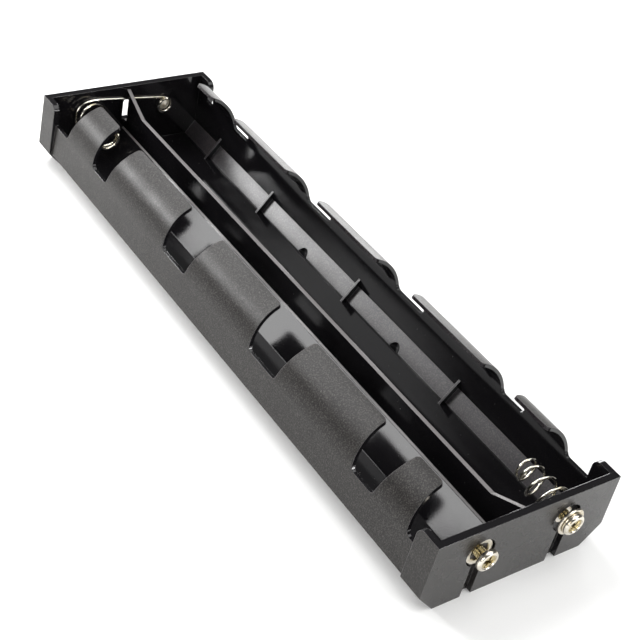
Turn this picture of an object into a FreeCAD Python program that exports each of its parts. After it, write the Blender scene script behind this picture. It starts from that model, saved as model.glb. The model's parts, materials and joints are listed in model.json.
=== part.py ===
import FreeCAD, Part
import math
import os

# Holder for two rows of round D-size cells: one black moulding with curled wall tabs,
# a wire spring that bridges the rows at the far end, a second spring and two screw
# terminals at the near end. Millimetres. +Z up, rows along Y, near end (terminals) at -Y.
# Origin: centre of the base, on the surface that the holder stands on.

# Cells
cell_diameter = 33.3
cell_length = 61.5
cells_in_row = 4
cell_play = 0.15          # radial room between a cell and its bay
spring_room = 8.8         # length of a row that is left to the contacts

# Moulding
floor_wall = 2.0
tab_wall = 1.3            # curled tabs and the side walls below them
corner_wall = 1.6         # sloping corner between floor and side wall
end_wall = 2.6
divider_wall = 1.5
end_height = 29.2         # top of end walls and ears
base_half = 30.6          # half width of the flat underside
corner_half = 36.6        # half width at the top of the sloping corner
corner_rise = 7.8
ear_step = 0.9            # how far end walls and ears stand proud at the corner
ear_lean = 0.9            # and how far they lean in towards the top
ear_length = 9.7          # straight full-height stretch of side wall at each corner
ear_round = 3.0           # rounded top corner of an ear
notch_round = 1.5         # rounded bottom corners of a gap

# Tabs and the gaps between them
gap_floor_lift = 1.8      # gap bottom above the cell axis
tab_pinch = 1.35          # how much tighter than the bay a tab curls, so that it holds the cell
tab_angle = 74.5          # how far a tab curls over the cell, from the horizontal
gap_shift = 4.9           # gap pattern, moved from the middle towards the row's plus end
middle_spacing = 59.5     # between the centres of the two middle gaps
outer_spacing = 175.6     # between the centres of the two outer gaps
middle_gap = 16.0         # bottom width of the two middle gaps
outer_gap = 11.2          # bottom width of the two outer gaps
short_tab_plus = 17.4     # root length of the short tab at the row's plus end
short_tab_minus = 21.4    # and of the one at the row's spring end
tab_taper = 10.0          # degrees that the sides of a tab slope
tab_round = 1.6           # rounded tip corners

# Divider
divider_height = 21.2
ramp_run = 13.9           # ramp from the divider up to an end wall
ramp_top_drop = 1.5       # ramp ends this far below the end wall's top
ridge_foot = 5.6          # flat floor from a bay's axis to the foot of the ridge
ridge_wall = 2.0
core_web = 1.2            # web across the middle of the hollow under the ridge

# Cradle ribs and ejector seats on the sloping corners
rib_thickness = 1.0
rib_height = 2.0
end_rib_offset = 21.4     # first rib, from the plus end wall
seat_radius = 3.0
seat_inset = 1.8          # seat centre, inside the edge of the flat underside
seat_offset = 30.8        # seats lie this far past a joint of two cells

# Wire window in the far end wall
window_width = 3.8
window_bottom = 13.9
window_top = 23.6
notch_top = 24.9          # the divider's end stays as a hook above this
wire_notch = 2.0          # divider stops this far short of the far wall there

# Springs
wire_diameter = 1.0
coil_radius_wall = 6.9
coil_radius_front = 4.3
flat_turns = 0.75         # nearly flat turns at the wall
open_turns = 3.0
closed_turns = 1.1        # nearly flat turns at the front
flat_rise = 1.4           # rise of the wire in one turn of each stretch
open_rise = 5.8
closed_rise = 1.25
negative_lean = 2.5       # the near spring's free front leans outwards
bridge_lean = 1.0         # and the far one's
coil_points = 14          # path points in one turn
wire_sides = 8            # flats of the wire's section
loop_play = 0.15          # near spring's wall loop round the eyelet's barrel
loop_radius = 3.4         # small loop round the contact rivet, at wire centre
loop_turn = 1.05
rivet_drop = 0.5          # contact rivet, below the cell axis

# Contact rivet, threaded eyelets
barrel_radius = 2.6
press_play = 0.03         # barrel in the moulding
flange_radius = 4.3
flange_height = 0.9
flange_bevel = 0.4
clinch_radius = 3.2       # eyelet's outer rim, clinched on the recess floor
clinch_height = 0.4
bore_floor = 0.2          # the bore ends this far short of the flange
button_radius = 2.35
button_height = 1.5
button_crown = 0.5         # width of the button's bevelled edge
rivet_tail = 0.2          # rivet ends this far inside the outer face

# Terminal screws and flat washers
thread_diameter = 4.0
thread_play = 0.05
screw_reach = 5.3         # shank length under the head
head_radius = 4.0
head_height = 1.9
head_edge = 0.7           # height of the head's straight rim
head_shoulder = 0.25      # the crown's two bevels: inset and height of the first,
head_shoulder_rise = 0.45
head_crown = 0.6          # inset of its upper edge and the drop there,
head_crown_drop = 0.25
head_flat = 0.95          # and inset of the flat top
shank_bevel = 0.4
cross_width = 4.9
cross_slot = 1.3
cross_depth = 1.2
dish_radius = 2.75        # shallow dish in the head's top, round the cross
dish_depth = 0.35
screw_standoff = 2.2      # head's seat, off the end wall
washer_inner = 2.25
washer_outer = 5.1
washer_thickness = 0.9
washer_play = 0.05
washer_bevel = 0.15
slot_width = 4.3          # groove in the outer face below a terminal
slot_depth = 1.9          # and of the round recess that the terminal's washer sits in
recess_play = 0.4         # washer in that recess

# Worked out
bay_radius = cell_diameter / 2 + cell_play
bay_x = divider_wall / 2 + bay_radius
axis_z = floor_wall + bay_radius
inner_x = bay_x + bay_radius
wall_x = inner_x + tab_wall
curl_x = bay_x + tab_pinch
curl_inner = bay_radius - tab_pinch
curl_outer = curl_inner + tab_wall
inner_half = (cell_length * cells_in_row + spring_room) / 2
half_length = inner_half + end_wall
gap_floor = axis_z + gap_floor_lift
wire_radius = wire_diameter / 2
tip_z = axis_z + curl_outer * math.sin(math.radians(tab_angle))


def vec(x, y, z):
    return FreeCAD.Vector(x, y, z)


def prism_y(points, y_start, y_end):
    """Solid with an XZ outline, from y_start to y_end."""
    corners = [vec(x, y_start, z) for x, z in points]
    wire = Part.makePolygon(corners + corners[:1])
    return Part.Face(wire).extrude(vec(0, y_end - y_start, 0))


def prism_x(edges_or_points, x_start, x_end):
    """Solid with a YZ outline, from x_start to x_end."""
    corners = [vec(x_start, y, z) for y, z in edges_or_points]
    wire = Part.makePolygon(corners + corners[:1])
    return Part.Face(wire).extrude(vec(x_end - x_start, 0, 0))


def corner_line(offset):
    """Sloping corner, moved inwards by offset: a point on it and dx/dz."""
    run = corner_half - base_half
    length = math.hypot(run, corner_rise)
    x = base_half - offset * corner_rise / length
    z = offset * run / length
    return x, z, run / corner_rise


def corner_x(offset, z):
    x_line, z_line, run = corner_line(offset)
    return x_line + (z - z_line) * run


def corner_z(offset, x):
    x_line, z_line, run = corner_line(offset)
    return z_line + (x - x_line) / run


def wall_turn():
    """Angle round the tabs' centre at which the leaning side wall runs into their curl."""
    run = corner_half - curl_x
    rise = axis_z - corner_rise
    return math.acos(curl_outer / math.hypot(run, rise)) - math.atan(rise / run)


def wall_top():
    turn = wall_turn()
    return curl_x + curl_outer * math.cos(turn), axis_z + curl_outer * math.sin(turn)


def ridge_slope():
    """Rise per run of the ridge flank, which is tangent to a bay's circle."""
    return math.tan(2 * math.atan(ridge_foot / bay_radius))


def trough():
    """Floor, sloping corners, side walls up to the cell axis, ridge and divider."""
    outer = [(base_half, 0), (corner_half, corner_rise), wall_top()]
    inner = [(inner_x, axis_z), (inner_x, corner_z(corner_wall, inner_x)),
             (corner_x(corner_wall, floor_wall), floor_wall)]
    flank_x = bay_x - ridge_foot
    flank_top = floor_wall + (flank_x - divider_wall / 2) * ridge_slope()
    middle = [(flank_x, floor_wall), (divider_wall / 2, flank_top),
              (divider_wall / 2, divider_height)]
    right = outer + inner + middle
    left = [(-x, z) for x, z in reversed(right)]
    body = prism_y(right + left, -half_length, half_length)
    return body.cut(ridge_core(flank_x))


def ridge_core(flank_x):
    """Hollow under the ridge, open below and closed by the end walls."""
    slope = ridge_slope()
    sink = ridge_wall * math.hypot(1, slope)
    foot = flank_x - (sink - floor_wall) / slope
    top_half = divider_wall / 2
    top = (foot - top_half) * slope
    outline = [(-foot, 0), (foot, 0), (top_half, top), (-top_half, top)]
    core = prism_y(outline, -inner_half, inner_half)
    web = Part.makeBox(4 * foot, core_web, end_height, vec(-2 * foot, -core_web / 2, 0))
    return core.cut(web)


def end_plate(y_start, y_end):
    low_x = corner_half + ear_step
    right = [(base_half, 0), (low_x, corner_rise), (low_x - ear_lean, end_height)]
    left = [(-x, z) for x, z in reversed(right)]
    return prism_y(right + left, y_start, y_end)


def ear(side, end):
    """Straight stretch of side wall at a corner, up to the end wall's height."""
    y_out = end * half_length
    y_in = end * (half_length - ear_length)
    plate = end_plate(min(y_out, y_in), max(y_out, y_in))
    far_x = -2 * wall_x
    hollow = [(inner_x, end_height), (inner_x, corner_z(corner_wall, inner_x)),
              (corner_x(corner_wall, floor_wall), floor_wall), (far_x, floor_wall),
              (far_x, end_height)]
    outline = [(x * side, z) for x, z in hollow]
    strip = plate.cut(prism_y(outline, -half_length, half_length))
    strip = strip.cut(Part.makeBox(4 * wall_x, 2 * half_length, floor_wall / 2,
                                   vec(far_x, -half_length, 0)))
    y_mid = y_in + end * ear_round
    z_mid = end_height - ear_round
    block = Part.makeBox(4 * wall_x, ear_round, ear_round,
                         vec(far_x, min(y_in, y_mid), z_mid))
    rod = Part.makeCylinder(ear_round, 4 * wall_x, vec(far_x, y_mid, z_mid), vec(1, 0, 0))
    return strip.cut(block.cut(rod))


def divider_ramp(end):
    y_wall = end * inner_half
    y_foot = end * (inner_half - ramp_run)
    outline = [(y_foot, divider_height), (y_wall, divider_height),
               (y_wall, end_height - ramp_top_drop)]
    return prism_x(outline, -divider_wall / 2, divider_wall / 2)


def gap_edges():
    """Bottom ends of each tab of the right-hand wall, whose row has its plus end at +Y."""
    spacings = [outer_spacing / 2, middle_spacing / 2, -middle_spacing / 2, -outer_spacing / 2]
    widths = [outer_gap, middle_gap, middle_gap, outer_gap]
    highs = [gap_shift + spacing + width / 2 for spacing, width in zip(spacings, widths)]
    lows = [gap_shift + spacing - width / 2 for spacing, width in zip(spacings, widths)]
    tabs = [(highs[0], highs[0] + short_tab_plus)]
    for index in range(3):
        tabs.append((highs[index + 1], lows[index]))
    tabs.append((lows[3] - short_tab_minus, lows[3]))
    return tabs


def curled_strip(y_low, y_high):
    """Side wall above the cell axis, curled over the bay. Its outside runs on from the low wall."""
    angle = math.radians(tab_angle)
    start = wall_turn()
    centre = vec(curl_x, y_low, axis_z)

    def rim(radius, turn):
        return centre + vec(radius * math.cos(turn), 0, radius * math.sin(turn))

    outer = Part.Arc(rim(curl_outer, start), rim(curl_outer, angle / 2), rim(curl_outer, angle))
    inner = Part.Arc(rim(curl_inner, angle), rim(curl_inner, angle / 2), rim(curl_inner, 0))
    tip = Part.LineSegment(rim(curl_outer, angle), rim(curl_inner, angle))
    root = Part.LineSegment(rim(curl_inner, 0), rim(curl_outer, start))
    edges = [line.toShape() for line in (outer, tip, inner, root)]
    return Part.Face(Part.Wire(edges)).extrude(vec(0, y_high - y_low, 0))


def curled_tab(y_low, y_high):
    """One tab: a stretch of the curled strip with tapered sides and rounded tip corners."""
    strip = curled_strip(y_low, y_high)
    slant = math.tan(math.radians(tab_taper)) * (tip_z - gap_floor)
    outline = [(y_low, axis_z - 1), (y_high, axis_z - 1), (y_high, gap_floor),
               (y_high - slant, tip_z), (y_high - slant, tip_z + 1), (y_low + slant, tip_z + 1),
               (y_low + slant, tip_z), (y_low, gap_floor)]
    strip = strip.common(prism_x(outline, 0, 2 * wall_x))
    tip_x = curl_x + curl_outer * math.cos(math.radians(tab_angle))
    corners = []
    for edge in strip.Edges:
        ends = [vertex.Point for vertex in edge.Vertexes]
        at_tip = all(point.x < tip_x + 0.1 and point.z > gap_floor for point in ends)
        if at_tip and edge.Length < 1.5 * tab_wall:
            corners.append(edge)
    return strip.makeFillet(tab_round, corners)


def gap_roots(tabs):
    """Low wall below the gaps, with the gaps' rounded bottom corners."""
    straight = half_length - ear_length
    fill = [Part.makeBox(2 * wall_x, 2 * straight, gap_floor, vec(0, -straight, 0))]
    for y_low, y_high in tabs:
        for y_edge, side in ((y_low, -1), (y_high, 1)):
            y_mid = y_edge + side * notch_round
            block = Part.makeBox(2 * wall_x, notch_round, notch_round,
                                 vec(0, min(y_edge, y_mid), gap_floor))
            rod = Part.makeCylinder(notch_round, 4 * wall_x,
                                    vec(-wall_x, y_mid, gap_floor + notch_round), vec(1, 0, 0))
            fill.append(block.cut(rod))
    return curled_strip(-straight, straight).common(fill[0].fuse(fill[1:]))


def cell_joints():
    """Where two cells of the right-hand row meet."""
    first_cell = inner_half - flange_height - wire_radius
    return [first_cell - cell_length * index for index in range(1, cells_in_row)]


def cradle_rib(y):
    top = corner_wall + rib_height
    outline = [(corner_x(corner_wall, floor_wall), floor_wall - 0.3),
               (inner_x + 0.3, corner_z(corner_wall, inner_x)),
               (inner_x + 0.3, corner_z(top, inner_x)), (inner_x, corner_z(top, inner_x)),
               (corner_x(top, floor_wall), floor_wall),
               (corner_x(top, floor_wall), floor_wall - 0.3)]
    return prism_y(outline, y - rib_thickness / 2, y + rib_thickness / 2)


def ejector_seats():
    """Round seats at floor level, cut into the foot of the right-hand slope."""
    seats = []
    for y in cell_joints()[:2]:
        seats.append(Part.makeCylinder(seat_radius, end_height,
                                       vec(base_half - seat_inset, y - seat_offset, floor_wall)))
    return seats


def row_side():
    """Tabs, the wall below the gaps and the ribs of the right-hand row."""
    tabs = gap_edges()
    pieces = [curled_tab(y_low, y_high) for y_low, y_high in tabs]
    pieces.append(gap_roots(tabs))
    ribs = [inner_half - end_rib_offset] + cell_joints()
    pieces += [cradle_rib(y) for y in ribs]
    return pieces


def turned(shapes):
    """The same shapes for the left-hand row, turned half round about Z."""
    copies = []
    for shape in shapes:
        copy = shape.copy()
        copy.rotate(vec(0, 0, 0), vec(0, 0, 1), 180)
        copies.append(copy)
    return copies


def terminal_cuts():
    """Eyelet holes, recesses and grooves in the near end wall, rivet hole in the far one."""
    cuts = []
    for side in (-1, 1):
        x = side * bay_x
        cuts.append(Part.makeCylinder(barrel_radius + press_play, end_wall + 2,
                                      vec(x, -half_length - 1, axis_z), vec(0, 1, 0)))
        cuts.append(Part.makeBox(slot_width, slot_depth, axis_z,
                                 vec(x - slot_width / 2, -half_length, 0)))
        cuts.append(Part.makeCylinder(washer_outer + recess_play, slot_depth,
                                      vec(x, -half_length, axis_z), vec(0, 1, 0)))
    cuts.append(Part.makeCylinder(barrel_radius + press_play, end_wall + 2,
                                  vec(bay_x, inner_half - 1, axis_z - rivet_drop), vec(0, 1, 0)))
    return cuts


def window_cuts():
    """Window in the far end wall and the notch in the divider that the wire passes through."""
    half = window_width / 2
    box = Part.makeBox(window_width, end_wall + 2, window_top - half - window_bottom,
                       vec(-half, inner_half - 1, window_bottom))
    arch = Part.makeCylinder(half, end_wall + 2, vec(0, inner_half - 1, window_top - half),
                             vec(0, 1, 0))
    notch = Part.makeBox(2 * divider_wall, wire_notch, notch_top - window_bottom,
                         vec(-divider_wall, inner_half - wire_notch, window_bottom))
    return [box, arch, notch]


def housing():
    body = trough()
    plates = [end_plate(-half_length, -inner_half), end_plate(inner_half, half_length)]
    ears = [ear(side, end) for side in (-1, 1) for end in (-1, 1)]
    ramps = [divider_ramp(end) for end in (-1, 1)]
    right = row_side()
    body = body.fuse(plates + ears + ramps + right + turned(right))
    seats = ejector_seats()
    body = body.cut(terminal_cuts() + window_cuts() + seats + turned(seats))
    return body.removeSplitter()


def coil_path(radius_wall, end_angle, lean_x):
    """Centre line of a conical spring from its wall turn to its front, along +Y from y = 0."""
    turns = flat_turns + open_turns + closed_turns
    full = flat_turns * flat_rise + open_turns * open_rise + closed_turns * closed_rise
    count = int(round(turns * coil_points))
    points = []
    for index in range(count + 1):
        turn = turns * index / count
        flat = min(turn, flat_turns)
        opened = min(max(turn - flat_turns, 0), open_turns)
        closed = max(turn - flat_turns - open_turns, 0)
        height = flat * flat_rise + opened * open_rise + closed * closed_rise
        radius = radius_wall + (coil_radius_front - radius_wall) * opened / open_turns
        angle = end_angle + 2 * math.pi * turn
        drift = lean_x * (height / full) ** 2
        points.append(vec(radius * math.cos(angle) + drift, height, radius * math.sin(angle)))
    return points


def wire_ring(points, index):
    """Corners of the wire's cross-section at one point of its centre line."""
    before = points[max(index - 1, 0)]
    after = points[min(index + 1, len(points) - 1)]
    along = (after - before).normalize()
    up = (vec(0, 1, 0) - along * along.y).normalize()
    across = along.cross(up)
    corners = []
    for side in range(wire_sides):
        turn = 2 * math.pi * (side + 0.5) / wire_sides
        offset = up * (wire_radius * math.cos(turn)) + across * (wire_radius * math.sin(turn))
        corners.append(points[index] + offset)
    return corners


def flat_face(corners):
    return Part.Face(Part.makePolygon(corners + corners[:1]))


def wire_solid(points):
    """Wire with a many-sided section along the points."""
    rings = [wire_ring(points, index) for index in range(len(points))]
    faces = [flat_face(rings[0]), flat_face(rings[-1])]
    for low, high in zip(rings, rings[1:]):
        for side in range(wire_sides):
            other = (side + 1) % wire_sides
            faces.append(flat_face([low[side], low[other], high[side]]))
            faces.append(flat_face([low[other], high[other], high[side]]))
    shell = Part.makeShell(faces)
    shell.sewShape()
    solid = Part.makeSolid(shell)
    if solid.Volume < 0:
        solid.reverse()
    return solid


def negative_spring():
    """Near end, right-hand row. The wall turn runs inwards to a loop under the eyelet's flange."""
    base_y = -inner_half + wire_radius
    loop = barrel_radius + wire_radius + loop_play
    points = coil_path(coil_radius_wall, 0, negative_lean)
    inward = []
    for index in range(coil_points):
        part = index / coil_points
        radius = loop + (coil_radius_wall - loop) * part * part * (3 - 2 * part)
        angle = 2 * math.pi * (part - 1)
        inward.append(vec(radius * math.cos(angle), 0, radius * math.sin(angle)))
    path = [point + vec(bay_x, base_y, axis_z) for point in inward + points]
    return wire_solid(path)


def bridge_spring():
    """Far end: spring of the left-hand row, straight wire past the divider, loop round the rivet."""
    wall_y = inner_half - wire_radius
    coil_z = axis_z
    loop_z = axis_z - rivet_drop
    apart = math.hypot(2 * bay_x, rivet_drop)
    leave = math.pi / 2 - math.asin((coil_radius_wall - loop_radius) / apart)
    leave -= math.asin(rivet_drop / apart)
    coil = []
    for point in coil_path(coil_radius_wall, leave, -bridge_lean):
        coil.append(vec(point.x - bay_x, wall_y - point.y, point.z + coil_z))
    loop = []
    steps = int(round(loop_turn * coil_points))
    for index in range(steps + 1):
        part = loop_turn * index / steps
        angle = leave - 2 * math.pi * part
        loop.append(vec(bay_x + loop_radius * math.cos(angle), wall_y - wire_diameter * 1.1 * part,
                        loop_z + loop_radius * math.sin(angle)))
    coil.reverse()
    count = 3
    straight = [coil[-1] + (loop[0] - coil[-1]) * (index / count) for index in range(1, count)]
    return wire_solid(coil + straight + loop)


def revolve_y(profile, x, z):
    """Turned piece on an axis along Y through x, z; profile holds radius and y."""
    corners = [vec(x + radius, y, z) for radius, y in profile]
    face = Part.Face(Part.makePolygon(corners + corners[:1]))
    return face.revolve(vec(x, 0, z), vec(0, 1, 0), 360)


def contact_rivet():
    """Domed contact of the right-hand row inside the wire loop, its shank in the far wall."""
    face_y = inner_half
    top_y = face_y - button_height
    tail_y = half_length - rivet_tail
    ring = [(0, tail_y), (barrel_radius, tail_y),
            (barrel_radius, face_y), (button_radius, face_y), (button_radius, top_y + button_crown),
            (button_radius - button_crown, top_y + 0.08), (0, top_y)]
    return revolve_y(ring, bay_x, axis_z - rivet_drop)


def terminal_eyelet(side):
    """Threaded eyelet in the near end wall: flange and closed end inside, clinched rim outside."""
    flange_y = -inner_half + wire_diameter
    top_y = flange_y + flange_height
    bore = thread_diameter / 2
    bore_end = flange_y - bore_floor
    floor_y = -half_length + slot_depth
    rim_y = floor_y - clinch_height
    ring = [(bore, rim_y), (clinch_radius, rim_y), (clinch_radius, floor_y),
            (barrel_radius, floor_y), (barrel_radius, flange_y), (flange_radius, flange_y),
            (flange_radius, top_y - flange_bevel), (flange_radius - flange_bevel, top_y),
            (0, top_y), (0, bore_end), (bore, bore_end)]
    return revolve_y(ring, side * bay_x, axis_z)


def flat_washer(side):
    """Loose washer on the screw: the left one lies on the eyelet, the right one at the head."""
    low_y = -half_length + slot_depth - clinch_height - washer_play - washer_thickness
    if side > 0:
        low_y = -half_length - screw_standoff + washer_play
    high_y = low_y + washer_thickness
    bevel_radius = washer_outer - washer_bevel
    ring = [(washer_inner, low_y), (bevel_radius, low_y), (washer_outer, low_y + washer_bevel),
            (washer_outer, high_y - washer_bevel), (bevel_radius, high_y), (washer_inner, high_y)]
    return revolve_y(ring, side * bay_x, axis_z)


def cross_recess(x, y_face):
    """Cross-shaped recess that narrows inwards."""
    arms = []
    for width, length in ((cross_slot, cross_width), (cross_width, cross_slot)):
        outer = [vec(x + sx * width / 2, y_face - 0.1, axis_z + sz * length / 2)
                 for sx, sz in ((-1, -1), (1, -1), (1, 1), (-1, 1))]
        inner = [vec(x + sx * width / 3, y_face + cross_depth, axis_z + sz * length / 3)
                 for sx, sz in ((-1, -1), (1, -1), (1, 1), (-1, 1))]
        wires = [Part.makePolygon(loop + loop[:1]) for loop in (outer, inner)]
        arms.append(Part.makeLoft(wires, True, True))
    return arms[0].fuse(arms[1])


def terminal_screw(side):
    """Pan-head machine screw, not yet tightened: its head stands off the wall."""
    x = side * bay_x
    seat_y = -half_length - screw_standoff
    front_y = seat_y - head_height
    shank = thread_diameter / 2 - thread_play
    tip = seat_y + screw_reach
    rim_y = seat_y - head_edge
    ring = [(0, tip), (shank - shank_bevel, tip), (shank, tip - shank_bevel), (shank, seat_y),
            (head_radius, seat_y), (head_radius, rim_y),
            (head_radius - head_shoulder, rim_y - head_shoulder_rise),
            (head_radius - head_crown, front_y + head_crown_drop),
            (head_radius - head_flat, front_y), (dish_radius, front_y),
            (dish_radius - dish_depth, front_y + dish_depth), (0, front_y + dish_depth)]
    return revolve_y(ring, x, axis_z).cut(cross_recess(x, front_y + dish_depth))


def build():
    return {
        "housing": housing(),
        "bridge_spring": bridge_spring(),
        "negative_spring": negative_spring(),
        "contact_rivet": contact_rivet(),
        "left_terminal_eyelet": terminal_eyelet(-1),
        "right_terminal_eyelet": terminal_eyelet(1),
        "left_washer": flat_washer(-1),
        "right_washer": flat_washer(1),
        "left_terminal_screw": terminal_screw(-1),
        "right_terminal_screw": terminal_screw(1),
    }


os.makedirs("parts", exist_ok=True)
for name, shape in build().items():
    box = shape.BoundBox
    print(name, "solids", len(shape.Solids), "valid", shape.isValid(), "volume", round(shape.Volume, 1),
          "box", round(box.XMin, 2), round(box.XMax, 2), round(box.YMin, 2), round(box.YMax, 2),
          round(box.ZMin, 2), round(box.ZMax, 2))
    shape.exportStep("parts/" + name + ".step")
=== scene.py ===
import json
import math
import bpy
import numpy as np
from mathutils import Matrix, Vector


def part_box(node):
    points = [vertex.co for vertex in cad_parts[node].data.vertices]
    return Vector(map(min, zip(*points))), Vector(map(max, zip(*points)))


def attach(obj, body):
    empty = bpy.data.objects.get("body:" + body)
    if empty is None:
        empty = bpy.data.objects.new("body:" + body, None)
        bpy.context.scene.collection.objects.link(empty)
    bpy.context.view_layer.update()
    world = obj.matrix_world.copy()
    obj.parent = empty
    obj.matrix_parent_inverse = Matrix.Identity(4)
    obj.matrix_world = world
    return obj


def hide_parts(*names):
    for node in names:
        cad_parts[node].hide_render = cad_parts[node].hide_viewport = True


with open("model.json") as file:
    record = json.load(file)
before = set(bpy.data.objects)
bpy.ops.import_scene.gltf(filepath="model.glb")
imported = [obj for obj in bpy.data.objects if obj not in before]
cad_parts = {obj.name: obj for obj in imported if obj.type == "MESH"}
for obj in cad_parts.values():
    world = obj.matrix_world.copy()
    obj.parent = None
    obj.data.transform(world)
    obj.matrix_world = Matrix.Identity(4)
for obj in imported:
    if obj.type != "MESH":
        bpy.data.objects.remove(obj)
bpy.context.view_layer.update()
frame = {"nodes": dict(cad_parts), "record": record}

mm = 0.001

# Places that the CAD model fixes, in mm
screwLow, screwHigh = (np.array(corner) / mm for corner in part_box("left_terminal_screw"))
bayX = -(screwLow[0] + screwHigh[0]) / 2
axisZ = (screwLow[2] + screwHigh[2]) / 2
innerHalf = 127.4        # from the middle to the inner face of an end wall


def linear(hexColour):
    # sRGB hex to linear: the lower part of the curve is a line, the rest a 2.4 power
    parts = np.array([int(hexColour[i:i + 2], 16) for i in (1, 3, 5)]) / 255
    low = parts / 12.92
    high = ((parts + 0.055) / 1.055) ** 2.4
    return tuple(np.where(parts <= 0.04045, low, high)) + (1.0,)


def softStep(value, low, high):
    # 0 below low, 1 above high, and between them three times the share's square less twice
    # its cube
    share = np.clip((value - low) / (high - low), 0, 1)
    return share * share * (3 - 2 * share)


def addNode(tree, kind, settings=None, values=None, links=None):
    # One node: its settings by attribute, its values and incoming links by socket name or
    # number. A link comes from a (node, output) pair, or from a node's first output in use.
    node = tree.nodes.new(kind)
    for key, value in (settings or {}).items():
        setattr(node, key, value)
    for key, value in (values or {}).items():
        node.inputs[key].default_value = value
    for key, source in (links or {}).items():
        if isinstance(source, tuple):
            output = source[0].outputs[source[1]]
        else:
            output = next(socket for socket in source.outputs if socket.enabled)
        tree.links.new(output, node.inputs[key])
    return node


def newMaterial(name):
    # An empty node material and its tree
    material = bpy.data.materials.new(name)
    material.use_nodes = True
    material.node_tree.nodes.clear()
    return material, material.node_tree


# A ramp is written as the input where it starts, the input where it ends, and its value at
# both. Where the values are left out they are 0 and 1.
rampSockets = ("From Min", "From Max", "To Min", "To Max")

# Moulded ABS, black, from a steel tool with two finishes. The tool's outer half is spark
# eroded: a matt, leathery grain on the walls, tabs and ends, and on the bays' sloping corners.
# Its core is polished: bay floors, ridge and inner walls are near black and glossy, with long
# faint flow streaks. The divider's top gets a painted grey highlight, and edges thin painted highlight lines.
mouldedAbs = {
    "glossy": "#121113",
    "matt": "#171514",
    "facet": "#1d181d",
    # painted highlight: the divider's top drawn light grey
    "paintedTopHighlight": "#6f6c6c",
    "speckle": "#615d5a",
    # painted highlight along edges
    "edge": "#6b6869",
    "dust": "#8b8783",
    "ior": 1.53,
    "glossyRoughness": 0.08,
    "mattRoughness": 0.35,
    "facetRoughness": 0.32,
    "endRoughness": 0.27,
    "glossySpecular": 0.5,
    "mattSpecular": 0.25,      # the grain's pits swallow part of the mirror light
    # Zones: a surface belongs to one as far as all its ramps say. Far is the distance from the
    # middle in mm, outward, endward and up are the parts of the normal that point that way.
    "zones": {
        "side": (("outward", 0.0, 0.06), ("farX", 12.0, 12.5)),
        "end": (("endward", 0.3, 0.5), ("farY", 127.8, 127.9)),
        "facet": (("outward", -0.30, -0.40), ("up", 0.2, 0.3), ("farX", 21.5, 22.0)),
        # top: the divider's upward faces, drawn lighter as a painted highlight
        "top": (("farX", 1.5, 1.3), ("up", 0.35, 0.5), ("farY", 127.5, 127.3)),
    },
    # Patterns: size in mm along each axis, octaves and how strongly the finer ones count
    "patterns": {
        "grain": ((0.45, 0.45, 0.45), 3.0, 0.65),     # really about 0.05 mm, coarser here to show
        "ripple": ((9.0, 9.0, 9.0), 2.0, 0.5),
        "patches": ((14.0, 14.0, 14.0), 4.0, 0.55),
        "specks": ((1.1, 1.1, 1.1), 2.0, 0.7),
        "streaks": ((7.0, 60.0, 7.0), 3.0, 0.5),
    },
    "uneven": (0.75, 1.25, -0.04, 0.04),
    "speckles": (0.48, 0.66, 0.0, 0.42),
    "dustShare": (0.72, 0.80, 0.0, 0.35),
    "edgeMm": 0.35,
    "edgeSamples": 4,
    "edgeTurn": (0.985, 0.80),
    "edgeBreaks": (0.35, 0.60, 0.35, 1.0),
    "edgeFinish": (0.0, 1.0, 0.15, 1.0),
    "grainHeight": 0.10,
    "grainStrength": 0.6,
    "grainFinish": (0.0, 1.0, 0.12, 1.0),
    "rippleHeight": 0.02,
    "rippleStrength": 0.5,
}


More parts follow.
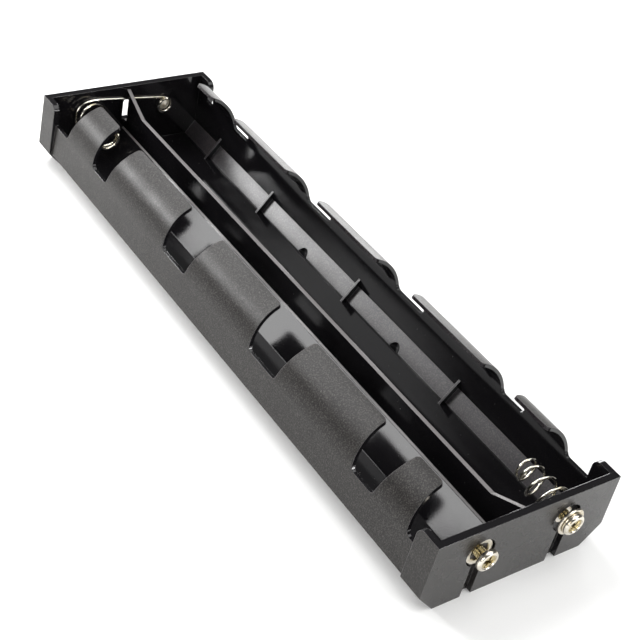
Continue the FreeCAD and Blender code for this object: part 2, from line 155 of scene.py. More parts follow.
def makeMouldedAbs():
    # Each zone is the product of its ramps, and the matt finish is the largest of them. Colours
    # are laid over one another from the polished black to the dust, each by its own share; the top
    # and edge colours are painted highlights.
    look = mouldedAbs
    material, tree = newMaterial("moulded black ABS")
    place = addNode(tree, "ShaderNodeTexCoord")
    inMm = addNode(tree, "ShaderNodeMapping", values={"Scale": (1 / mm,) * 3},
                   links={"Vector": (place, "Object")})
    at = addNode(tree, "ShaderNodeSeparateXYZ", links={"Vector": inMm})
    facing = addNode(tree, "ShaderNodeSeparateXYZ", links={"Vector": (place, "Normal")})
    measures = {"up": (facing, "Z")}
    for axis, far, away in (("X", "farX", "outward"), ("Y", "farY", "endward")):
        measures[far] = addNode(tree, "ShaderNodeMath", {"operation": "ABSOLUTE"}, links={0: (at, axis)})
        sign = addNode(tree, "ShaderNodeMath", {"operation": "SIGN"}, links={0: (at, axis)})
        measures[away] = addNode(tree, "ShaderNodeMath", {"operation": "MULTIPLY"},
                                 links={0: (facing, axis), 1: sign})
    zones = {}
    for zone, ramps in look["zones"].items():
        for measure, *ramp in ramps:
            share = addNode(tree, "ShaderNodeMapRange", values=dict(zip(rampSockets, ramp)),
                            links={"Value": measures[measure]})
            if zone in zones:
                share = addNode(tree, "ShaderNodeMath", {"operation": "MULTIPLY"},
                                links={0: zones[zone], 1: share})
            zones[zone] = share
    matt = zones["side"]
    for zone in ("end", "facet", "top"):
        matt = addNode(tree, "ShaderNodeMath", {"operation": "MAXIMUM"}, links={0: matt, 1: zones[zone]})

    patterns = {}
    for name, (sizes, octaves, finer) in look["patterns"].items():
        space = addNode(tree, "ShaderNodeMapping", links={"Vector": inMm},
                        values={"Scale": tuple(1 / size for size in sizes)})
        patterns[name] = addNode(tree, "ShaderNodeTexNoise", links={"Vector": space},
                                 values={"Scale": 1.0, "Detail": octaves, "Roughness": finer})

    # Roughness: by finish, a little uneven from the melt's flow
    clouds = addNode(tree, "ShaderNodeMath", {"operation": "ADD"},
                     links={0: patterns["patches"], 1: patterns["streaks"]})
    uneven = addNode(tree, "ShaderNodeMapRange", values=dict(zip(rampSockets, look["uneven"])),
                     links={"Value": clouds})
    gloss = addNode(tree, "ShaderNodeMapRange", links={"Value": matt},
                    values={"To Min": look["glossyRoughness"], "To Max": look["mattRoughness"]})
    gloss = addNode(tree, "ShaderNodeMath", {"operation": "ADD"}, links={0: gloss, 1: uneven})
    for zone in ("facet", "end"):
        gloss = addNode(tree, "ShaderNodeMath", {"operation": "MULTIPLY_ADD"},
                        {1: look[zone + "Roughness"] - look["mattRoughness"]}, {0: zones[zone], 2: gloss})
    walls = addNode(tree, "ShaderNodeMath", {"operation": "SUBTRACT"},
                    links={0: zones["side"], 1: zones["end"]})
    specular = addNode(tree, "ShaderNodeMapRange", links={"Value": walls},
                       values={"To Min": look["glossySpecular"], "To Max": look["mattSpecular"]})

    # Painted edge highlights: lighter where the rounded normal turns away from the flat one, less on polished
    # parts
    rounded = addNode(tree, "ShaderNodeBevel", {"samples": look["edgeSamples"]},
                      {"Radius": look["edgeMm"] * mm})
    flat = addNode(tree, "ShaderNodeNewGeometry")
    alike = addNode(tree, "ShaderNodeVectorMath", {"operation": "DOT_PRODUCT"},
                    links={0: rounded, 1: (flat, "Normal")})
    paintedEdgeHighlight = addNode(tree, "ShaderNodeMapRange", values=dict(zip(rampSockets, look["edgeTurn"])),
                   links={"Value": alike})
    for ramp, source in (("edgeBreaks", patterns["patches"]), ("edgeFinish", matt)):
        share = addNode(tree, "ShaderNodeMapRange", values=dict(zip(rampSockets, look[ramp])),
                        links={"Value": source})
        paintedEdgeHighlight = addNode(tree, "ShaderNodeMath", {"operation": "MULTIPLY"}, links={0: paintedEdgeHighlight, 1: share})

    dust = addNode(tree, "ShaderNodeMapRange", values=dict(zip(rampSockets, look["dustShare"])),
                   links={"Value": patterns["specks"]})
    speckle = addNode(tree, "ShaderNodeMapRange", values=dict(zip(rampSockets, look["speckles"])),
                      links={"Value": patterns["grain"]})
    speckle = addNode(tree, "ShaderNodeMath", {"operation": "MULTIPLY"}, links={0: speckle, 1: matt})
    colour = addNode(tree, "ShaderNodeMix", {"data_type": "RGBA"},
                     {"A": linear(look["glossy"]), "B": linear(look["matt"])}, {"Factor": matt})
    # the top zone's grey and the edge colour laid on here are painted highlights
    for shade, share in (("facet", zones["facet"]), ("paintedTopHighlight", zones["top"]), ("speckle", speckle),
                         ("edge", paintedEdgeHighlight), ("dust", dust)):
        colour = addNode(tree, "ShaderNodeMix", {"data_type": "RGBA"}, {"B": linear(look[shade])},
                         {"Factor": share, "A": colour})

    # Relief: the grain, low on polished parts, and under it the shrinkage ripples
    finish = addNode(tree, "ShaderNodeMapRange", values=dict(zip(rampSockets, look["grainFinish"])),
                     links={"Value": matt})
    height = addNode(tree, "ShaderNodeMath", {"operation": "MULTIPLY"},
                     links={0: patterns["grain"], 1: finish})
    fine = addNode(tree, "ShaderNodeBump", links={"Height": height, "Normal": rounded},
                   values={"Strength": look["grainStrength"], "Distance": look["grainHeight"] * mm})
    bump = addNode(tree, "ShaderNodeBump", links={"Height": patterns["ripple"], "Normal": fine},
                   values={"Strength": look["rippleStrength"], "Distance": look["rippleHeight"] * mm})
    surface = addNode(tree, "ShaderNodeBsdfPrincipled", values={"IOR": look["ior"]},
                      links={"Base Color": colour, "Roughness": gloss, "Specular IOR Level": specular,
                             "Normal": bump})
    addNode(tree, "ShaderNodeOutputMaterial", links={"Surface": surface})
    return material


# Nickel-plated steel, turned or pressed and then bright plated: a warm white metal whose
# plating is a little uneven, with faint tool marks that stretch its highlights. Pieces say
# how far each point goes to a golden tint and on to a painted dark shade, and how satin it is.
nickelPlate = {
    "colour": "#e2dccf",
    "tarnish": "#a08d62",
    "golden": "#b9aa80",
    # painted shade: the dark of washer hollows and screw recesses
    "inside": "#1c140b",
    "clouds": (1.6, 4.0, 0.6),       # size in mm, octaves, how strongly the finer ones count
    "marks": (0.16, 2.0, 0.5),       # turning marks
    "markHeight": 0.012,
    "markStrength": 0.3,
    "cloudRoughness": (0.35, 0.65, 0.10, 0.26),
    "cloudTarnish": (0.52, 0.72, 0.0, 0.75),
    "goldenShare": (0.0, 0.5),
    "insideShare": (0.5, 1.0),
    "satinRoughness": 0.40,
    "edgeMm": 0.12,
    "edgeSamples": 4,
}


def makeNickelPlate():
    # Roughness is the clouds' ramp plus the satin share times its roughness. The colour goes
    # from plate to tarnish with the clouds, then to a golden tint and to a painted dark shade with
    # the tint-and-shade share.
    look = nickelPlate
    material, tree = newMaterial("nickel plated steel")
    place = addNode(tree, "ShaderNodeTexCoord")
    inMm = addNode(tree, "ShaderNodeMapping", values={"Scale": (1 / mm,) * 3},
                   links={"Vector": (place, "Object")})
    clouds, marks = (addNode(tree, "ShaderNodeTexNoise", links={"Vector": inMm},
                             values={"Scale": 1 / size, "Detail": octaves, "Roughness": finer})
                     for size, octaves, finer in (look["clouds"], look["marks"]))
    gloss = addNode(tree, "ShaderNodeMapRange", values=dict(zip(rampSockets, look["cloudRoughness"])),
                    links={"Value": clouds})
    satin = addNode(tree, "ShaderNodeAttribute", {"attribute_name": "satin"})
    gloss = addNode(tree, "ShaderNodeMath", {"operation": "MULTIPLY_ADD"}, {1: look["satinRoughness"]},
                    {0: (satin, "Fac"), 2: gloss})
    tarnish = addNode(tree, "ShaderNodeMapRange", values=dict(zip(rampSockets, look["cloudTarnish"])),
                      links={"Value": clouds})
    colour = addNode(tree, "ShaderNodeMix", {"data_type": "RGBA"},
                     {"A": linear(look["colour"]), "B": linear(look["tarnish"])}, {"Factor": tarnish})
    dull = addNode(tree, "ShaderNodeAttribute", {"attribute_name": "dull"})
    # golden is a tint; inside is a painted dark shade
    for shade in ("golden", "inside"):
        share = addNode(tree, "ShaderNodeMapRange", values=dict(zip(rampSockets, look[shade + "Share"])),
                        links={"Value": (dull, "Fac")})
        colour = addNode(tree, "ShaderNodeMix", {"data_type": "RGBA"}, {"B": linear(look[shade])},
                         {"Factor": share, "A": colour})
    rounded = addNode(tree, "ShaderNodeBevel", {"samples": look["edgeSamples"]},
                      {"Radius": look["edgeMm"] * mm})
    bump = addNode(tree, "ShaderNodeBump", links={"Height": marks, "Normal": rounded},
                   values={"Strength": look["markStrength"], "Distance": look["markHeight"] * mm})
    surface = addNode(tree, "ShaderNodeBsdfPrincipled", values={"Metallic": 1.0},
                      links={"Base Color": colour, "Roughness": gloss, "Normal": bump})
    addNode(tree, "ShaderNodeOutputMaterial", links={"Surface": surface})
    return material


# Spring wire, drawn through a die and nickel plated: bright, with fine lines along its
# length and a faint yellow cast where the plating is thin.
springWire = {
    "colour": "#e8e4da",
    "thinPlate": "#b3a888",
    "lineScale": (1 / 9.0, 9.0, 1.0),    # a line is about 9 mm long and a ninth of the way round
    "lineOctaves": 3.0,
    "lineFiner": 0.65,
    "lineRoughness": (0.3, 0.7, 0.10, 0.22),
    "lineHeight": 0.01,
    "lineStrength": 0.4,
    "patchMm": 5.0,
    "patchOctaves": 3.0,
    "thinShare": (0.5, 0.7, 0.0, 0.8),
}


def makeSpringWire():
    # Lines follow the wire's own UV, in mm along it and once round it; patches follow its place
    look = springWire
    material, tree = newMaterial("drawn spring wire")
    route = addNode(tree, "ShaderNodeUVMap", {"uv_map": "alongWire"})
    lineSpace = addNode(tree, "ShaderNodeMapping", {}, {"Scale": look["lineScale"]}, {"Vector": route})
    lines = addNode(tree, "ShaderNodeTexNoise", links={"Vector": lineSpace},
                    values={"Scale": 1.0, "Detail": look["lineOctaves"], "Roughness": look["lineFiner"]})
    place = addNode(tree, "ShaderNodeTexCoord")
    patches = addNode(tree, "ShaderNodeTexNoise", links={"Vector": (place, "Object")},
                      values={"Scale": 1 / (look["patchMm"] * mm), "Detail": look["patchOctaves"]})
    gloss = addNode(tree, "ShaderNodeMapRange", values=dict(zip(rampSockets, look["lineRoughness"])),
                    links={"Value": lines})
    thin = addNode(tree, "ShaderNodeMapRange", values=dict(zip(rampSockets, look["thinShare"])),
                   links={"Value": patches})
    colour = addNode(tree, "ShaderNodeMix", {"data_type": "RGBA"},
                     {"A": linear(look["colour"]), "B": linear(look["thinPlate"])}, {"Factor": thin})
    bump = addNode(tree, "ShaderNodeBump", links={"Height": lines},
                   values={"Strength": look["lineStrength"], "Distance": look["lineHeight"] * mm})
    surface = addNode(tree, "ShaderNodeBsdfPrincipled", values={"Metallic": 1.0},
                      links={"Base Color": colour, "Roughness": gloss, "Normal": bump})
    addNode(tree, "ShaderNodeOutputMaterial", links={"Surface": surface})
    return material


materials = {
    "black_plastic": makeMouldedAbs(),
    "nickel_plate": makeNickelPlate(),
    "spring_wire": makeSpringWire(),
}
for part in frame["record"]["subparts"]:
    node = frame["nodes"][part["node"]]
    node.data.materials.clear()
    node.data.materials.append(materials[part["material_slot"]])
print("materials made:", ", ".join(m.name for m in materials.values()))


def gridPiece(name, grid, slotName, body, stands, uv=None, wrap=False, **finish):
    # A closed surface from a grid of points in mm, rows x columns: columns run round and join
    # up. Rows join up too where wrap is set, or else a fan closes each end row on its mean point.
    # Each share, satin or the tint-and-shade value behind golden tint and painted shade, is from 0 to 1 for
    # every point, which the material reads by its name.
    rows, columns = grid.shape[:2]
    points = grid.reshape(-1, 3)
    bands = rows if wrap else rows - 1
    row, column = np.meshgrid(np.arange(bands), np.arange(columns), indexing="ij")
    nextRow, nextColumn = (row + 1) % rows, (column + 1) % columns
    faces = np.stack([row * columns + column, row * columns + nextColumn,
                      nextRow * columns + nextColumn, nextRow * columns + column], -1).reshape(-1, 4).tolist()
    if not wrap:
        around = np.arange(columns)
        onward = (around + 1) % columns
        last = (rows - 1) * columns
        points = np.concatenate([points, [grid[0].mean(0), grid[-1].mean(0)]])
        faces += np.stack([onward, around, np.full(columns, rows * columns)], -1).tolist()
        faces += np.stack([last + around, last + onward, np.full(columns, rows * columns + 1)], -1).tolist()
    mesh = bpy.data.meshes.new(name)
    mesh.from_pydata((points * mm).tolist(), [], faces)
    mesh.update()
    if uv is not None:
        layer = mesh.uv_layers.new(name="alongWire")
        corners = np.zeros(len(mesh.loops), int)
        mesh.loops.foreach_get("vertex_index", corners)
        flat = np.concatenate([uv.reshape(-1, 2), [uv[0, 0], uv[-1, 0]]])
        layer.data.foreach_set("uv", flat[corners].ravel())
    for label, share in finish.items():
        share = np.broadcast_to(share, grid.shape[:2])
        ends = [] if wrap else [share[0, 0], share[-1, 0]]
        layer = mesh.attributes.new(label, "FLOAT", "POINT")
        layer.data.foreach_set("value", np.concatenate([share.ravel(), ends]))
    mesh.polygons.foreach_set("use_smooth", np.ones(len(faces), bool))
    piece = bpy.data.objects.new(name, mesh)
    bpy.context.scene.collection.objects.link(piece)
    mesh.materials.append(materials[slotName])
    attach(piece, body)
    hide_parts(*stands)
    return piece


# Springs: the wire's centre lines, with the CAD model's coils and a rounder section
springs = {
    "wireRadius": 0.5,
    "wallRadius": 6.9,
    "frontRadius": 4.3,
    "turns": (0.75, 3.0, 1.1),     # flat on the wall, open, closed at the front
    "rises": (1.4, 5.8, 1.25),     # mm per turn of each
    "loopRadius": 3.4,             # round the rivet
    "loopTurn": 1.05,
    "loopRise": 1.1,
    "rivetDrop": 0.5,              # the rivet's centre below the bay's axis
    "eyeletLoop": 3.25,            # round the near end's eyelet
    "nearLean": 2.5,               # sideways bow of each coil's axis
    "farLean": -1.0,
    "pointsPerTurn": 40,
    "straightPoints": 24,
    "smoothTurns": 0.12,
    "sides": 14,
    "endTilts": (78, 45),          # degrees of the rows that round off a cut end
    "endDepth": 0.5,
}


def coilLine(endAngle, leanX):
    # A conical coil: the radius falls in step with the open turns, the height rises by each
    # stretch's rise, and the axis bows sideways with the square of the height.
    look = springs
    flat, opened, closed = look["turns"]
    total = flat + opened + closed
    turn = np.linspace(0, total, int(total * look["pointsPerTurn"]) + 1)
    height = np.interp(turn, np.cumsum([0, flat, opened, closed]),
                       np.cumsum([0] + [t * r for t, r in zip(look["turns"], look["rises"])]))
    share = np.clip((turn - flat) / opened, 0, 1)
    radius = look["wallRadius"] + (look["frontRadius"] - look["wallRadius"]) * share
    angle = endAngle + 2 * math.pi * turn
    drift = leanX * (height / height[-1]) ** 2
    return np.stack([radius * np.cos(angle) + drift, height, radius * np.sin(angle)], -1)


def smoothed(line):
    # Moving mean over a short stretch to either side, with the ends held: bends start gently
    window = int(springs["smoothTurns"] * springs["pointsPerTurn"])
    padded = np.concatenate([np.repeat(line[:1], window, 0), line, np.repeat(line[-1:], window, 0)])
    kernel = np.ones(2 * window + 1) / (2 * window + 1)
    mean = np.stack([np.convolve(padded[:, axis], kernel, "valid") for axis in range(3)], -1)
    mean[:window] = line[:window]
    mean[-window:] = line[-window:]
    return mean


def wireGrid(line):
    # A round wire along the line: each row is a circle across the line's direction, and at each
    # end a smaller row for each end tilt rounds off the cut. Also the UV: mm along, share round.
    look = springs
    radius = look["wireRadius"]
    along = np.gradient(line, axis=0)
    along /= np.linalg.norm(along, axis=1, keepdims=True)
    up = np.array([0.0, 1.0, 0.0]) - along * along[:, 1:2]
    up /= np.linalg.norm(up, axis=1, keepdims=True)
    across = np.cross(along, up)
    tilt = np.radians(look["endTilts"])
    ends = len(tilt)
    inset = (look["endDepth"] * radius * (1 - np.sin(tilt)))[:, None]
    startLine = line[0] + along[0] * inset
    endLine = line[-1] - along[-1] * inset[::-1]
    centre = np.concatenate([startLine, line[ends:-ends], endLine])
    endSize = radius * np.cos(tilt)
    size = np.concatenate([endSize, np.full(len(line) - 2 * ends, radius), endSize[::-1]])
    up, across = (np.concatenate([np.repeat(side[:1], ends, 0), side[ends:-ends],
                                  np.repeat(side[-1:], ends, 0)]) for side in (up, across))
    turn = 2 * math.pi * np.arange(look["sides"]) / look["sides"]
    ring = up[:, None] * np.cos(turn)[None, :, None] + across[:, None] * np.sin(turn)[None, :, None]
    grid = centre[:, None] + ring * size[:, None, None]
    run = np.concatenate([[0], np.cumsum(np.linalg.norm(np.diff(centre, axis=0), axis=1))])
    uv = np.stack(np.broadcast_arrays(run[:, None], (turn / (2 * math.pi))[None]), -1)
    return grid, uv


def negativeSpring():
    # One turn whose radius eases from the eyelet's loop out to the wall radius, then the coil
    look = springs
    part = np.arange(look["pointsPerTurn"]) / look["pointsPerTurn"]
    ease = softStep(part, 0, 1)
    radius = look["eyeletLoop"] + (look["wallRadius"] - look["eyeletLoop"]) * ease
    angle = 2 * math.pi * (part - 1)
    inward = np.stack([radius * np.cos(angle), 0 * angle, radius * np.sin(angle)], -1)
    line = np.concatenate([inward, coilLine(0, look["nearLean"])])
    return smoothed(line) + np.array([bayX, -innerHalf + look["wireRadius"], axisZ])


def bridgeSpring():
    # The coil, a straight run and the loop, a helix round the rivet. The run is the tangent of
    # both circles: it leaves at a right angle less the arcsines of the radii's difference and
    # of the drop, each over the distance of the centres.
    look = springs
    wallY = innerHalf - look["wireRadius"]
    loopZ = axisZ - look["rivetDrop"]
    apart = math.hypot(2 * bayX, look["rivetDrop"])
    leave = math.pi / 2 - math.asin((look["wallRadius"] - look["loopRadius"]) / apart)
    leave -= math.asin(look["rivetDrop"] / apart)
    coil = coilLine(leave, look["farLean"]) * np.array([1, -1, 1]) + np.array([-bayX, wallY, axisZ])
    coil = coil[::-1]
    steps = int(look["loopTurn"] * look["pointsPerTurn"])
    part = look["loopTurn"] * np.arange(steps + 1) / steps
    angle = leave - 2 * math.pi * part
    loop = np.stack([bayX + look["loopRadius"] * np.cos(angle), wallY - look["loopRise"] * part,
                     loopZ + look["loopRadius"] * np.sin(angle)], -1)
    step = np.linspace(0, 1, look["straightPoints"] + 2)[1:-1, None]
    straight = coil[-1] + (loop[0] - coil[-1]) * step
    return smoothed(np.concatenate([coil, straight, loop]))


for name, line, stands in (("negative_spring_wire", negativeSpring(), "negative_spring"),
                           ("bridge_spring_wire", bridgeSpring(), "bridge_spring")):
    grid, uv = wireGrid(line)
    gridPiece(name, grid, "spring_wire", "holder", [stands], uv)
print("springs wound")

# Terminal screws: pan head with a shallow dish, a cross recess in it, thread cut on the shank
terminalScrew = {
    "headHeight": 1.9,
    "rimHeight": 0.75,
    "rimRound": 0.12,
    "crownRound": 0.7,
    "crownBends": (10, 90),
    "faceFall": 0.12,          # the face falls by this towards the crown
    "faceFallWidth": 0.6,
    "dishRadius": 2.75,
    "dishDepth": 0.35,
    "dishEdge": 0.12,
    "shankRadius": 1.95,
    "tipBevel": 0.4,
    "pitch": 0.7,
    "threadDepth": 0.38,
    "threadRunOut": (0.5, 0.4),    # at the tip and at the head
    "recessHalfWidth": 0.68,
    "recessHalfLength": 2.45,
    "recessDepth": 1.2,
    "recessTaper": 0.25,
    "recessWall": 0.16,
    "threadDull": 0.5,
    "dishDull": 0.5,
    "dishDullEdge": 0.3,
    # painted shade in the cross recess, darker where it is deeper
    "recessShade": 0.45,
    "turnDegrees": {"left": 18, "right": 41},
    "cornerGap": 0.05,         # rows this far from a corner keep it sharp
    "endGap": 0.02,
    "tipRing": 0.6,
    "shankRows": 64,
    "seatRows": 6,
    "crownRows": 9,
    "faceRows": 76,
    "columns": 128,
}


def screwProfile():
    # Radius and distance along the axis, from the tip's middle over the shank, under the head,
    # round its rim and quarter-round crown to the middle of its dished face; and the row where
    # the shank starts, where it ends and where the face starts
    look = terminalScrew
    tipY, frontY = screwHigh[1], screwLow[1]
    seatY = frontY + look["headHeight"]
    rimY = seatY - look["rimHeight"]
    shank, head = look["shankRadius"], (screwHigh[0] - screwLow[0]) / 2
    bevel, gap, fall = look["tipBevel"], look["cornerGap"], look["faceFall"]
    tipRadius = np.array([gap, look["tipRing"], shank - bevel - gap, shank - bevel])
    tip = np.stack([tipRadius, np.full(len(tipRadius), tipY)], -1)
    shankY = np.linspace(tipY - look["endGap"], seatY + look["endGap"], look["shankRows"])
    body = np.stack([np.minimum(shank, shank - bevel + (tipY - shankY)), shankY], -1)
    seatRadius = np.linspace(shank + 2 * gap, head - 3 * gap, look["seatRows"])
    seat = np.stack([seatRadius, np.full(len(seatRadius), seatY)], -1)
    rim = np.array([(head - gap, seatY - look["rimRound"] / 4), (head, seatY - look["rimRound"]),
                    (head, rimY)])
    bend = np.radians(np.linspace(*look["crownBends"], look["crownRows"]))
    crown = np.stack([head - look["crownRound"] * (1 - np.cos(bend)),
                      rimY - (rimY - frontY - fall) * np.sin(bend)], -1)
    radius = np.linspace(head - look["crownRound"] - gap, look["endGap"], look["faceRows"])
    dish = look["dishDepth"] * softStep(-radius, -look["dishRadius"] - look["dishEdge"],
                                        -look["dishRadius"] + look["dishEdge"])
    slope = np.clip((radius - look["dishRadius"]) / look["faceFallWidth"], 0, 1)
    face = np.stack([radius, frontY + fall * slope ** 2 + dish], -1)
    before = len(tip) + len(body) + len(seat) + len(rim) + len(crown)
    return np.concatenate([tip, body, seat, rim, crown, face]), len(tip), len(tip) + len(body), before


def screwGrid(side, turnDegrees):
    # The profile carried round the axis. The shank's radius follows a saw tooth that climbs one
    # pitch a turn and runs out at both ends. The face is pressed in where a point lies in either
    # arm of the cross, deepest in the middle. Also each point's tint and shade: a golden tint on
    # the thread and dish, and a painted shade in the recess.
    look = terminalScrew
    profile, shankStart, shankEnd, faceStart = screwProfile()
    angle = 2 * math.pi * np.arange(look["columns"]) / look["columns"]
    radius = np.repeat(profile[:, :1], look["columns"], 1)
    y = np.repeat(profile[:, 1:], look["columns"], 1)
    dull = np.zeros_like(y)

    tipY, seatY = screwHigh[1], screwLow[1] + look["headHeight"]
    shankY = y[shankStart:shankEnd]
    climb = shankY / look["pitch"] + angle[None] / (2 * math.pi)
    tooth = np.abs(2 * (climb % 1) - 1)
    tipOut, headOut = look["threadRunOut"]
    full = softStep(tipY - shankY, 0.0, tipOut) * softStep(shankY - seatY, 0.0, headOut)
    radius[shankStart:shankEnd] -= look["threadDepth"] * (1 - tooth) * full
    dull[shankStart:shankEnd] = look["threadDull"]

    faceRadius = radius[faceStart:]
    arm = angle[None] + math.radians(turnDegrees)
    a, b = np.abs(faceRadius * np.cos(arm)), np.abs(faceRadius * np.sin(arm))
    wall, half, length = look["recessWall"], look["recessHalfWidth"], look["recessHalfLength"]
    inArms = [(1 - softStep(p, half - wall, half)) * (1 - softStep(q, length - 3 * wall, length))
              for p, q in ((a, b), (b, a))]
    depth = np.maximum(*inArms) * look["recessDepth"] * (1 - look["recessTaper"] * faceRadius / length)
    y[faceStart:] += depth
    # The dish gets a golden tint; the cross recess a painted shade, darker the deeper it is
    inDish = softStep(-faceRadius, -look["dishRadius"], -look["dishRadius"] + look["dishDullEdge"])
    dull[faceStart:] = look["dishDull"] * inDish + look["recessShade"] * depth / look["recessDepth"]
    return np.stack([side * bayX + radius * np.cos(angle), y, axisZ + radius * np.sin(angle)], -1), dull


for label, side in (("left", -1), ("right", 1)):
    grid, dull = screwGrid(side, terminalScrew["turnDegrees"][label])
    gridPiece(label + "_terminal_screw_threaded", grid, "nickel_plate",
              label + "_screw", [label + "_terminal_screw"], dull=dull)
print("screws threaded")

# Turned pieces: cup washers whose inner part lies lower and is painted dark as shade, and the
# rivet's button, more pointed than in the CAD model and satin
turned = {
    "columns": 96,
    "washerHole": 2.25,
    "washerStep": 3.3,
    "washerRamp": 0.3,
    "washerLow": 0.5,
    "rampDull": 0.2,       # tint-and-shade value at the ramp's upper edge, a golden tint; down the ramp it deepens to painted shade
    "bevel": 0.15,
    "hair": 0.04,          # each washer corner is two rows this far from it: flats stay flat
    "buttonRadius": 2.35,
    "buttonRim": 0.3,
    "buttonRows": 14,
    "buttonPower": 1.35,
    "tipShare": 0.03,
    "cornerGap": 0.05,
}


def turnedGrid(profile, node):
    # The profile's points (radius, y) carried round an axis along Y through the node's middle
    low, high = (np.array(corner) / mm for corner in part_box(node))
    angle = 2 * math.pi * np.arange(turned["columns"]) / turned["columns"]
    x = (low[0] + high[0]) / 2 + profile[:, :1] * np.cos(angle)
    z = (low[2] + high[2]) / 2 + profile[:, :1] * np.sin(angle)
    return np.stack([x, np.broadcast_to(profile[:, 1:], x.shape), z], -1)[:, ::-1]


def washer(side):
    # Section of the ring: radius, y and tint-and-shade value of each corner, all the way round it
    look, node = turned, side + "_washer"
    low, high = (np.array(corner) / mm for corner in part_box(node))
    outer, front, back = (high[0] - low[0]) / 2, low[1], high[1]
    deep, step, bevel = front + look["washerLow"], look["washerStep"], look["bevel"]
    # the hole and the lower inner part get 1: a painted shade
    corners = np.array([
        (look["washerHole"], back, 1), (look["washerHole"], deep, 1), (step, deep, 1),
        (step + look["washerRamp"], front, look["rampDull"]), (outer - bevel, front, 0),
        (outer, front + bevel, 0), (outer, back - bevel, 0), (outer - bevel, back, 0)])
    near = []
    for other in (np.roll(corners, 1, 0), np.roll(corners, -1, 0)):
        away = other - corners
        near.append(corners + away * look["hair"] / np.linalg.norm(away[:, :2], axis=1)[:, None])
    section = np.stack(near, 1).reshape(-1, 3)
    dull = np.repeat(section[:, 2:], turned["columns"], 1)
    gridPiece(side + "_cup_washer", turnedGrid(section[:, :2], node), "nickel_plate", side + "_advance",
              [node], dull=dull, wrap=True)


def rivetButton():
    # A blunt cone: the height falls from the tip with a power of the radius; then a short rim,
    # a step out to the barrel's radius at the wall, and the barrel up to its flat tail
    look, node = turned, "contact_rivet"
    low, high = (np.array(corner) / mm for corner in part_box(node))
    barrel, front, back = (high[0] - low[0]) / 2, low[1], high[1]
    rim, gap = look["buttonRadius"], look["cornerGap"]
    share = np.linspace(look["tipShare"], 1, look["buttonRows"])
    rise = innerHalf - look["buttonRim"] - front
    cone = np.stack([rim * share, front + rise * share ** look["buttonPower"]], -1)
    rest = np.array([(rim, innerHalf - gap), (rim + gap, innerHalf), (barrel - gap, innerHalf),
                     (barrel, innerHalf + gap), (barrel, back - gap), (barrel - gap, back)])
    gridPiece("contact_rivet_button", turnedGrid(np.concatenate([cone, rest]), node), "nickel_plate",
              "holder", [node], satin=1.0)


for label in ("left", "right"):
    washer(label)
rivetButton()
print("washers and rivet turned")

# Studio: white table in a pale surround. The tab soft box behind lights what is seen in the
# tabs and the ridge's flanks, the corner soft box what is seen in the bays' sloping corners,
# and the low right one grazes the right-hand tabs.
studio = {
    "floorColour": "#fbfbfa",
    "floorRoughness": 0.6,
    "floorHalf": 3.0,
    "worldColour": "#ffffff",
    "worldStrength": 0.14,
    "lights": (
        # name, place, aimed at and size in m, watts
        ("key soft box", (0.25, -0.25, 0.85), (0.0, 0.0, 0.02), (0.9, 0.9), 6.0),
        ("front left soft box", (-0.72, -0.62, 0.40), (-0.05, 0.0, 0.0), (0.5, 0.4), 3.2),
        ("front right soft box", (0.40, -0.80, 0.26), (0.02, 0.1, 0.02), (0.16, 0.20), 2.2),
        ("tab soft box", (-0.14, 0.52, 0.66), (0.0, 0.0, 0.02), (0.84, 0.46), 7.4),
        ("corner soft box", (-0.47, 0.60, 0.35), (0.0, 0.07, 0.01), (0.20, 0.14), 4.2),
        ("right soft box", (0.64, 0.49, 0.17), (0.0, 0.0, 0.02), (0.30, 0.30), 2.4),
    ),
}


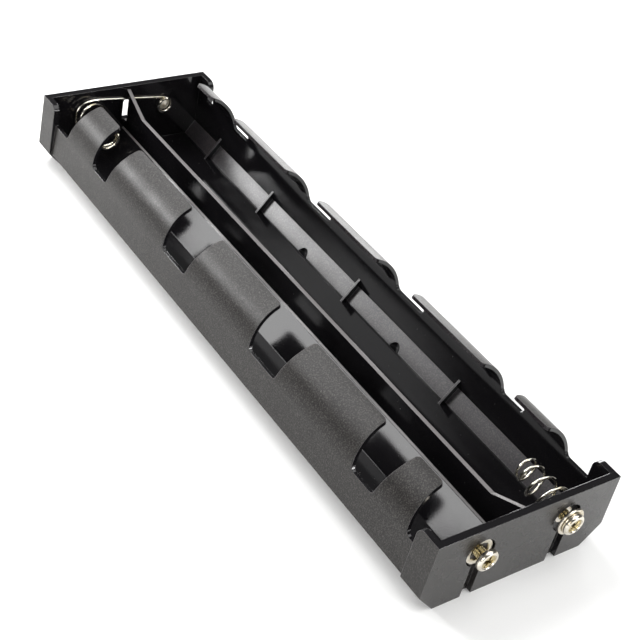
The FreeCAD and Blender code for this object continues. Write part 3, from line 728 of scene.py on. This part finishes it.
def makeFloor():
    # One square at height zero
    half = studio["floorHalf"]
    corners = [(-half, -half, 0), (half, -half, 0), (half, half, 0), (-half, half, 0)]
    mesh = bpy.data.meshes.new("table")
    mesh.from_pydata(corners, [], [(0, 1, 2, 3)])
    floor = bpy.data.objects.new("table", mesh)
    bpy.context.scene.collection.objects.link(floor)
    material, tree = newMaterial("white table")
    surface = addNode(tree, "ShaderNodeBsdfPrincipled",
                      values={"Base Color": linear(studio["floorColour"]),
                              "Roughness": studio["floorRoughness"]})
    addNode(tree, "ShaderNodeOutputMaterial", links={"Surface": surface})
    mesh.materials.append(material)


def makeWorld():
    # An even, weak glow from all sides
    world = bpy.data.worlds.new("studio")
    world.use_nodes = True
    world.node_tree.nodes.clear()
    glow = addNode(world.node_tree, "ShaderNodeBackground",
                   values={"Color": linear(studio["worldColour"]), "Strength": studio["worldStrength"]})
    addNode(world.node_tree, "ShaderNodeOutputWorld", links={"Surface": glow})
    bpy.context.scene.world = world


def makeLights():
    # Rectangles, each turned from its place to what it is aimed at
    for name, place, aim, size, watts in studio["lights"]:
        data = bpy.data.lights.new(name, "AREA")
        data.shape = "RECTANGLE"
        data.size, data.size_y = size
        data.energy = watts
        lamp = bpy.data.objects.new(name, data)
        lamp.location = place
        lamp.rotation_mode = "QUATERNION"
        lamp.rotation_quaternion = (Vector(aim) - Vector(place)).to_track_quat("-Z", "Y")
        bpy.context.scene.collection.objects.link(lamp)


makeFloor()
makeWorld()
makeLights()

# Camera: where the photograph was taken from, in mm, found from its corners and edges
camera = {
    "place": (-254.27, -297.92, 303.19),
    "lookAt": (-18.09, -25.81, 18.0),
    "rollDegrees": 12.722,
    "lensMm": 76.02,
    "filmMm": 36,
    "shift": (0.0486, 0.0353),
    "clip": (0.01, 20),
}


def makeCamera():
    # Turned from its place to the point looked at, then rolled about its own axis
    data = bpy.data.cameras.new("camera")
    data.sensor_width = camera["filmMm"]
    data.lens = camera["lensMm"]
    data.shift_x, data.shift_y = camera["shift"]
    data.clip_start, data.clip_end = camera["clip"]
    place, aim = Vector(camera["place"]) * mm, Vector(camera["lookAt"]) * mm
    turn = (aim - place).to_track_quat("-Z", "Y").to_matrix()
    roll = Matrix.Rotation(math.radians(camera["rollDegrees"]), 3, "Z")
    holder = bpy.data.objects.new("camera", data)
    holder.location = place
    holder.rotation_mode = "QUATERNION"
    holder.rotation_quaternion = (turn @ roll).to_quaternion()
    bpy.context.scene.collection.objects.link(holder)
    bpy.context.scene.camera = holder


makeCamera()
bpy.context.scene.view_settings.view_transform = "Standard"
print("studio and camera set")
